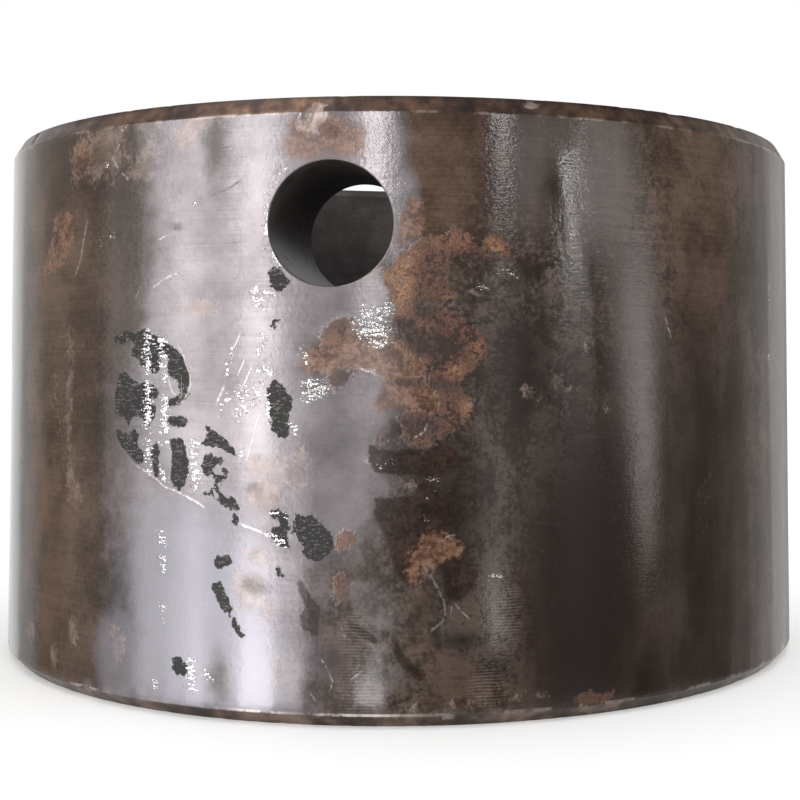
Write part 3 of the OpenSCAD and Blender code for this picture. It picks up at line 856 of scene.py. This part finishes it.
dirt = zone("dirt", 1.0, 0.32, 0.7, 0.8)
dirt_tone = step_up(tree, shift(tree, ragged, dust, 0.6), 0.3, 0.7)
dirt_colour = tones(tree, dirt_tone, srgb(116, 95, 84), srgb(152, 129, 117), srgb(188, 167, 156))
look = cover(tree, look, maths(tree, "MULTIPLY", dirt, 0.28), dirt_colour, 0.0, 0.5, 0.003)
grit = zone("grit", 0.5, 1.16, 1.3, 1.8)
look = cover(tree, look, maths(tree, "MULTIPLY", grit, 0.5), srgb(136, 112, 96), 0.0, 0.6, 0.02)

smear = zone("smear", 0.5, 0.36, 0.5, 0.5)
smear_tone = step_up(tree, shift(tree, shift(tree, ragged, speck, 0.6), dust, 0.5), 0.3, 0.7)
smear_colour = tones(tree, smear_tone, srgb(38, 30, 26), srgb(48, 37, 32), srgb(62, 46, 39))
look = cover(tree, look, maths(tree, "MULTIPLY", smear, 0.92), smear_colour, 0.0, 0.14, 0.0)

veil = zone("veil", 0.7, 0.3, 0.7, 0.5)
veil_tone = step_up(tree, shift(tree, shift(tree, ragged, speck, 0.6), dust, 0.4), 0.3, 0.7)
veil_colour = tones(tree, veil_tone, srgb(80, 52, 37), srgb(112, 79, 59), srgb(142, 109, 89))
look = cover(tree, look, maths(tree, "MULTIPLY", veil, 0.76), veil_colour, 0.1, 0.32, 0.0)
rust = zone("rust", 0.9, 0.38, 0.6, 0.5)
rust_tone = shift(tree, shift(tree, stored(tree, "rust_tone"), ragged, 1.4), speck, 1.9)
rust_tone = shift(tree, rust_tone, dust, 1.1)
rust_colour = tones(
    tree, rust_tone, srgb(50, 28, 19), srgb(86, 52, 37), srgb(116, 77, 53),
    srgb(144, 98, 62), srgb(176, 138, 113),
)
orange = step_up(tree, shift(tree, ragged, speck, 0.8), 0.52, 0.72)
rust_colour = blend(tree, maths(tree, "MULTIPLY", orange, 0.2), rust_colour, srgb(140, 88, 48))
rust_pits = maths(tree, "MULTIPLY", step_up(tree, shift(tree, speck, ragged, 1.2), 0.55, 0.66), 0.68)
rust_colour = blend(tree, rust_pits, rust_colour, srgb(48, 33, 27))
look = cover(tree, look, maths(tree, "MULTIPLY", rust, 0.86), rust_colour, 0.0, 0.6, 0.004)

rings = node(tree, "ShaderNodeTexWave", {
    "Vector": place, "Scale": 1.0, "Distortion": 3.6, "Detail": 2.0, "Detail Scale": 0.3,
}, bands_direction="Z").outputs["Fac"]
# Pale ring crests, partly painted highlight where the low strips are mirrored
crest_and_glint = maths(tree, "MULTIPLY", step_up(tree, rings, 0.5, 0.95), zone("ringed_and_glint", 0.6, 0.4, 0.9, 0.5))
look = cover(tree, look, maths(tree, "MULTIPLY", crest_and_glint, 0.13), srgb(186, 177, 172), 0.4, 0.3, 0.004)
flake = zone("flake", 0.2, 0.44, 0.5, 0.4)
glitter = noise(tree, stretched(tree, place, 1.4, 1.4, 4.6), 1.0, 2, 0.6)
sparkle = shift(tree, glitter, dust, 0.8)
flake_tone = step_up(tree, sparkle, 0.42, 0.74)
flake_colour = tones(tree, flake_tone, srgb(22, 19, 18), srgb(36, 33, 31), srgb(104, 101, 97))
look = cover(tree, look, flake, flake_colour, 0.0, 0.9, -0.02)

# Near-white flecks, partly painted glints where the sheets and strips are mirrored
fleck_and_glint = step_up(tree, shift(tree, stored(tree, "fleck_and_glint"), sparkle, 2.2), 0.74, 0.98)
fleck_and_glint_colour = tones(tree, step_up(tree, dust, 0.36, 0.56), srgb(170, 166, 165), srgb(236, 233, 232))
look = cover(tree, look, maths(tree, "MULTIPLY", fleck_and_glint, 0.9), fleck_and_glint_colour, 0.85, 0.25, 0.02)

# Scratches, and painted glint lines on flake rims
across = maths(tree, "ABSOLUTE", shift(tree, stored(tree, "scratch_and_glint_across"), ragged, 4.0))
scratch_and_glint = maths(tree, "MULTIPLY", step_up(tree, across, 1.5, 0.5), stored(tree, "scratch_and_glint_share"))
scratch_and_glint = maths(tree, "MULTIPLY", scratch_and_glint, step_up(tree, speck, 0.36, 0.56))
scratch_and_glint_colour = blend(tree, stored(tree, "scratch_and_glint_tone"), srgb(46, 38, 36), srgb(214, 205, 198))
look = cover(tree, look, maths(tree, "MULTIPLY", scratch_and_glint, 0.65), scratch_and_glint_colour, 0.3, 0.3, -0.01)

top_edge = (sleeve_length - lead_in_length) / MM
low_edge = lower_chamfer / MM
off_wall = maths(tree, "MAXIMUM", step_up(tree, up_mm, top_edge - 0.05, top_edge + 0.12),
                 step_up(tree, up_mm, low_edge + 0.05, low_edge - 0.12))
edge_tone = step_up(tree, shift(tree, shift(tree, cloud, ragged, 0.8), runs, 0.5), 0.25, 0.75)
edge_colour = tones(
    tree, edge_tone, srgb(46, 34, 28), srgb(72, 53, 43), srgb(94, 70, 56), srgb(118, 91, 74),
)
low_colour = tones(tree, edge_tone, srgb(50, 40, 35), srgb(82, 66, 57), srgb(128, 109, 98))
edge_colour = blend(tree, step_up(tree, up_mm, 3.0, 2.0), edge_colour, low_colour)
rim_dark = maths(tree, "MULTIPLY", step_up(tree, up_mm, top_edge + 1.1, top_edge + 1.7), 0.6)
edge_colour = blend(tree, rim_dark, edge_colour, srgb(42, 33, 29))
look = cover(tree, look, off_wall, edge_colour, 0.6, 0.4, 0.0)
top_line = step_up(tree, maths(tree, "ABSOLUTE", maths(tree, "SUBTRACT", up_mm, top_edge)), 0.2, 0.08)
low_line = step_up(tree, maths(tree, "ABSOLUTE", maths(tree, "SUBTRACT", up_mm, low_edge + 0.1)), 0.2, 0.08)
worn_line = maths(tree, "MULTIPLY", maths(tree, "MAXIMUM", top_line, low_line), step_up(
    tree, shift(tree, runs, ragged, 0.8), 0.5, 0.62))
look = cover(tree, look, maths(tree, "MULTIPLY", worn_line, 0.4), srgb(166, 152, 142), 0.7, 0.3, 0.0)
worn_share = maths(tree, "MULTIPLY", stored(tree, "worn"), step_up(tree, ragged, 0.4, 0.54))
worn_low = maths(tree, "MULTIPLY", low_line, worn_share)
look = cover(tree, look, maths(tree, "MULTIPLY", worn_low, 0.8), srgb(206, 196, 188), 0.3, 0.3, 0.0)
chipped = step_up(tree, shift(tree, stored(tree, "chip"), ragged, 1.2), 0.4, 0.6)
chip_tone = step_up(tree, ragged, 0.3, 0.7)
chip_colour = tones(tree, chip_tone, srgb(104, 86, 77), srgb(146, 130, 121), srgb(172, 160, 152))
look = cover(tree, look, maths(tree, "MULTIPLY", chipped, 0.6), chip_colour, 0.3, 0.4, 0.0)

surface = node(tree, "ShaderNodeSeparateXYZ", {0: look[1]})
bare = maths(tree, "SUBTRACT", 1.0, grey)
grain_height = maths(tree, "MULTIPLY_ADD", bare, 0.004, 0.003)
relief = maths(tree, "MULTIPLY_ADD", grain, grain_height, surface.outputs[2])
relief = maths(tree, "MULTIPLY_ADD", ragged, 0.012, relief)
relief = maths(tree, "MULTIPLY_ADD", glitter, maths(tree, "MULTIPLY", bare, 0.012), relief)
relief = maths(tree, "MULTIPLY_ADD", stored(tree, "lip"), 0.02, relief)
pitted = maths(tree, "MAXIMUM", maths(tree, "MAXIMUM", rust, flake), fleck_and_glint)
relief = maths(tree, "MULTIPLY_ADD", speck, maths(tree, "MULTIPLY_ADD", pitted, 0.06, 0.012), relief)
shader = dress(tree, look[0], surface.outputs, relief)
shader.inputs["IOR"].default_value = 1.5
shader.inputs["Anisotropic"].default_value = 0.7
shader.inputs["Anisotropic Rotation"].default_value = 0.25
tangent = node(tree, "ShaderNodeTangent", direction_type="RADIAL", axis="Z").outputs[0]
tree.links.new(tangent, shader.inputs["Tangent"])

# The end faces and the bore
# Both were turned and then left as cut. Feed marks run round the axis on them, and old oil has dried
# on them in brown and black stains, with a little rust.


def turned_finish(name, dark, middle, pale, mark_x, mark_y, mark_share, gloss, stained):
    """Turned steel under dried oil, with so many feed marks a mm of radius and of height."""
    finishes[name].use_nodes = True
    tree = finishes[name].node_tree
    place = place_in_mm(tree)
    cloud = noise(tree, place, 0.1, 5, 0.6)
    ragged = noise(tree, place, 0.5, 5, 0.6)
    speck = noise(tree, place, 2.2, 3, 0.65)
    parts = node(tree, "ShaderNodeSeparateXYZ", {0: place})
    from_axis = hypot(tree, parts.outputs[0], parts.outputs[1])
    feed = combine(tree, maths(tree, "MULTIPLY", from_axis, mark_x), 0.0,
                   maths(tree, "MULTIPLY", parts.outputs[2], mark_y))
    drift = stretched(tree, place, 0.03, 0.03, 0.0)
    around = node(tree, "ShaderNodeVectorMath", {0: drift, 1: feed}, operation="ADD").outputs[0]
    marks = noise(tree, around, 1.0, 3, 0.6)
    tone = step_up(tree, shift(tree, shift(tree, cloud, marks, mark_share), speck, 0.15), 0.25, 0.75)
    look = (tones(tree, tone, dark, middle, pale), combine(
        tree, 0.15, maths(tree, "MULTIPLY_ADD", cloud, 0.2, 0.28), 0.0))
    stain = step_up(tree, shift(tree, cloud, ragged, 0.6), 0.53, 0.68)
    look = cover(tree, look, maths(tree, "MULTIPLY", stain, stained), srgb(62, 47, 38), 0.0, 0.45, 0.0)
    rust = step_up(tree, shift(tree, shift(tree, cloud, ragged, 1.2), speck, 0.8), 0.73, 0.85)
    rust_share = maths(tree, "MULTIPLY", rust, 0.5 * stained)
    look = cover(tree, look, rust_share, srgb(112, 74, 48), 0.0, 0.65, 0.02)
    surface = node(tree, "ShaderNodeSeparateXYZ", {0: look[1]})
    relief = maths(tree, "MULTIPLY_ADD", marks, 0.04 * mark_share, surface.outputs[2])
    relief = maths(tree, "MULTIPLY_ADD", speck, maths(tree, "MULTIPLY_ADD", rust, 0.05, 0.008), relief)
    shader = dress(tree, look[0], surface.outputs, relief)
    shader.inputs["Specular IOR Level"].default_value = gloss


turned_finish("End Face", srgb(58, 52, 50), srgb(88, 81, 79), srgb(124, 116, 113), 3.0, 0.0, 0.5, 0.5, 1.0)
# The bore's tones are darker than the end faces': painted shade inside the hole and bore
turned_finish("Bore", srgb(50, 48, 47), srgb(68, 65, 63), srgb(90, 86, 83), 0.0, 2.5, 0.14, 0.06, 0.3)

# The stage and its light
# A white floor under a white sky, three lamps, and sheets that only mirrors show. The film mirrors the
# sheets as upright bands: bright on the left, dark on the right, with narrow strips between.
floor_half = 9.0
floor_colour = (0.92, 0.92, 0.915, 1)
floor_lift = 0.2
floor_mesh = bpy.data.meshes.new("floor")
floor_mesh.from_pydata(
    [(x * floor_half, y * floor_half, 0) for x, y in ((-1, -1), (1, -1), (1, 1), (-1, 1))], [],
    [(0, 1, 2, 3)],
)
floor = bpy.data.objects.new("floor", floor_mesh)
scene.collection.objects.link(floor)
white = bpy.data.materials.new("white_stage")
white.use_nodes = True
white_tree = white.node_tree
white_shader = white_tree.nodes["Principled BSDF"]
white_shader.inputs["Base Color"].default_value = floor_colour
white_shader.inputs["Roughness"].default_value = 0.9
white_shader.inputs["Emission Color"].default_value = (1, 1, 1, 1)
white_shader.inputs["Specular IOR Level"].default_value = 0.0
path = node(white_tree, "ShaderNodeLightPath").outputs
in_view = maths(white_tree, "MAXIMUM", path["Is Camera Ray"], maths(
    white_tree, "MAXIMUM", path["Is Glossy Ray"], path["Is Transmission Ray"]))
lift = maths(white_tree, "MULTIPLY", in_view, floor_lift)
white_tree.links.new(lift, white_shader.inputs["Emission Strength"])
floor_mesh.materials.append(white)


def seen_at(arc_mm):
    """Point of the wall at an arc length right of the hole, and the way a look at it is reflected."""
    angle = arc_mm * MM / outer_r
    normal = Vector((math.sin(angle), -math.cos(angle)))
    point = normal * outer_r
    view = (camera_place.xy - point).normalized()
    return point, (2 * normal.dot(view) * normal - view)


def lamp(name, first_arc, last_arc, radiance, reach, foot, top):
    """A panel between two heights, whose reflection spans the wall between two arc lengths."""
    ends = []
    for arc_mm in (first_arc, last_arc):
        point, away = seen_at(arc_mm)
        ends.append(point + away * reach)
    middle = (ends[0] + ends[1]) / 2
    width = (ends[1] - ends[0]).length
    light = bpy.data.lights.new(name, "AREA")
    light.shape = "RECTANGLE"
    light.size = width
    light.size_y = top - foot
    light.energy = radiance * math.pi * width * (top - foot)
    made = bpy.data.objects.new(name, light)
    made.location = (middle.x, middle.y, (top + foot) / 2)
    made.rotation_euler = Vector((-middle.x, -middle.y, 0)).to_track_quat("-Z", "Y").to_euler()
    made.visible_camera = False
    scene.collection.objects.link(made)


strip_reach = 0.7
card_reach = 0.88
lamp("front_strip", 3.6, 5.2, 16.0, strip_reach, 0.1, 0.5)
lamp("right_strip_1", 16.8, 17.6, 14.0, strip_reach, 0.145, 0.45)
lamp("right_soft", 25.6, 31, 0.85, 0.75, 0.1, 0.5)


def mirrored(name, rows, radiance):
    """A glowing sheet through rows of points, which only mirrors show."""
    count = len(rows[0])
    card_mesh = bpy.data.meshes.new(name)
    card_mesh.from_pydata(
        [spot for row in rows for spot in row], [],
        [(k * count + i, k * count + i + 1, (k + 1) * count + i + 1, (k + 1) * count + i)
         for k in range(len(rows) - 1) for i in range(count - 1)],
    )
    paper = bpy.data.materials.new(name)
    paper.use_nodes = True
    paper_shader = paper.node_tree.nodes["Principled BSDF"]
    paper_shader.inputs["Base Color"].default_value = (0, 0, 0, 1)
    paper_shader.inputs["Specular IOR Level"].default_value = 0.0
    paper_shader.inputs["Emission Color"].default_value = (1, 1, 1, 1)
    paper_shader.inputs["Emission Strength"].default_value = radiance
    card_mesh.materials.append(paper)
    made = bpy.data.objects.new(name, card_mesh)
    made.visible_camera = False
    made.visible_diffuse = False
    made.visible_shadow = False
    made.visible_transmission = False
    scene.collection.objects.link(made)


def row_at(reach, z, first_arc, last_arc):
    """Points at one height whose reflections span the wall between two arc lengths."""
    row = []
    for arc_mm in np.linspace(first_arc, last_arc, 24):
        point, away = seen_at(arc_mm)
        spot = point + away * reach
        row.append((spot.x, spot.y, z))
    return row


def card(name, first_arc, last_arc, radiance, near=0.004, far=0.9, top=1.8):
    """A card along the floor and then up, between two arc lengths."""
    # Longer cards lie lower, so that a short one shows above a long one
    clearance = 0.0014 - far / 1000
    spots = ((near, clearance), (far, clearance), (far, top))
    rows = [row_at(reach, z, first_arc, last_arc) for reach, z in spots]
    mirrored(name, rows, radiance)


def upright(name, reach, foot, top, radiance):
    """A sheet between two rows, each given as its height, first arc length and last arc length."""
    mirrored(name, [row_at(reach, *foot), row_at(reach, *top)], radiance)


for first_arc, last_arc, radiance in [
    (-53, -47, 1.1), (-47, -40, 0.6), (-40, -34, 0.07), (-34, -26.5, 0.31), (-21.5, -17.4, 2.45),
    (-17.4, -15, 3.35), (-15, -13.2, 5.1), (-13.2, -9.2, 3.45), (-9.2, -5.6, 7.25), (-5.6, -2.6, 1.9),
    (-2.6, 5.4, 0.8), (8, 43.5, 0.03), (43.5, 47, 0.09), (47, 51, 0.24), (51, 54.5, 0.4),
    (54.5, 58, 0.55), (58, 62, 0.76), (62, 66, 0.65), (66, 71, 0.4),
]:
    card(f"card_at_{first_arc}", first_arc, last_arc, radiance)
upright("right_strip_2", strip_reach, (0.146, 23.4, 24.4), (0.116, 24.4, 25.4), 46.0)
upright("right_strip_2_foot", strip_reach, (0.116, 24.4, 25.4), (0.08, 26.2, 27), 8.0)
card("right_strip_3", 32, 34.8, 2.5, near=0.14, far=card_reach, top=0.003)
upright("right_strip_3_upper", card_reach, (0.001, 30.6, 34.8), (0.12, 30, 34.2), 1.6)
card("dark_floor", 5.4, 8, 0.2, near=0.004, far=0.85, top=0.14)
upright("left_brown_upper", card_reach, (0.1, -40, -33), (1.2, -40, -33), 0.5)
upright("left_edge_upper", card_reach, (0.14, -47, -42), (1.2, -47, -42), 0.85)
upright("left_upper", card_reach, (0.11, -17.4, -13.2), (1.2, -17.4, -13.2), 5.6)
card("left_grey_foot", -26.5, -22.5, 0.7, near=0.004, far=0.2, top=0.003)
card("left_foot", -5.6, -2.6, 3.6, near=0.004, far=0.12, top=0.003)
card("front_foot", 2.6, 5.4, 5.0, near=0.004, far=0.012, top=0.003)
card("right_foot", 15.5, 17.2, 4.0, near=0.036, far=0.092, top=0.003)

world = bpy.data.worlds.new("studio")
world.use_nodes = True
world.node_tree.nodes["Background"].inputs["Color"].default_value = (1, 1, 1, 1)
scene.world = world
scene.view_settings.view_transform = "Standard"
